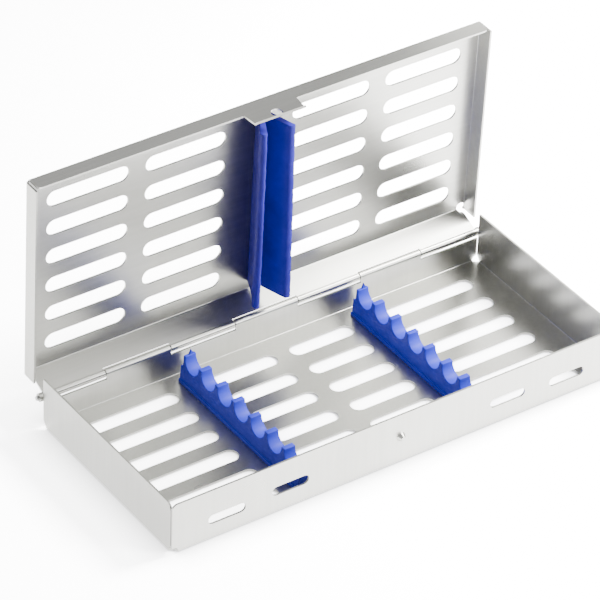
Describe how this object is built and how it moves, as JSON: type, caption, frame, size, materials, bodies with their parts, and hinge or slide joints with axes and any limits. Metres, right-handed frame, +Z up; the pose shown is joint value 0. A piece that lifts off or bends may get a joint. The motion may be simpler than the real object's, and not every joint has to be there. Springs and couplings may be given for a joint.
{
  "type": "instrument_cassette",
  "caption": "Open folded-steel sterilisation cassette with a slotted tray and slotted hinged lid, blue silicone instrument rails and a blue silicone hold-down strip.",
  "frame": {"origin": "centre of the tray's flat underside", "axes": "+X along the hinge to the right seen from the latch side, +Y from the latch to the hinge, +Z up"},
  "size_m": [0.1834, 0.0917, 0.0968],
  "materials": {
    "steel": "satin",
    "pin_steel": "polished",
    "silicone": "matt"
  },
  "bodies": {
    "base": {"tray": "steel", "hinge_pin": "pin_steel", "rail_left": "silicone", "rail_right": "silicone"},
    "cover": {"lid": "steel", "lid_strip": "silicone"}
  },
  "joints": [
    {"name": "lid_hinge", "type": "hinge", "parent": "base", "child": "cover", "pos_m": [0, 0.0408, 0.0115], "axis": [1, 0, 0], "range_deg": [-92, 88]}
  ]
}
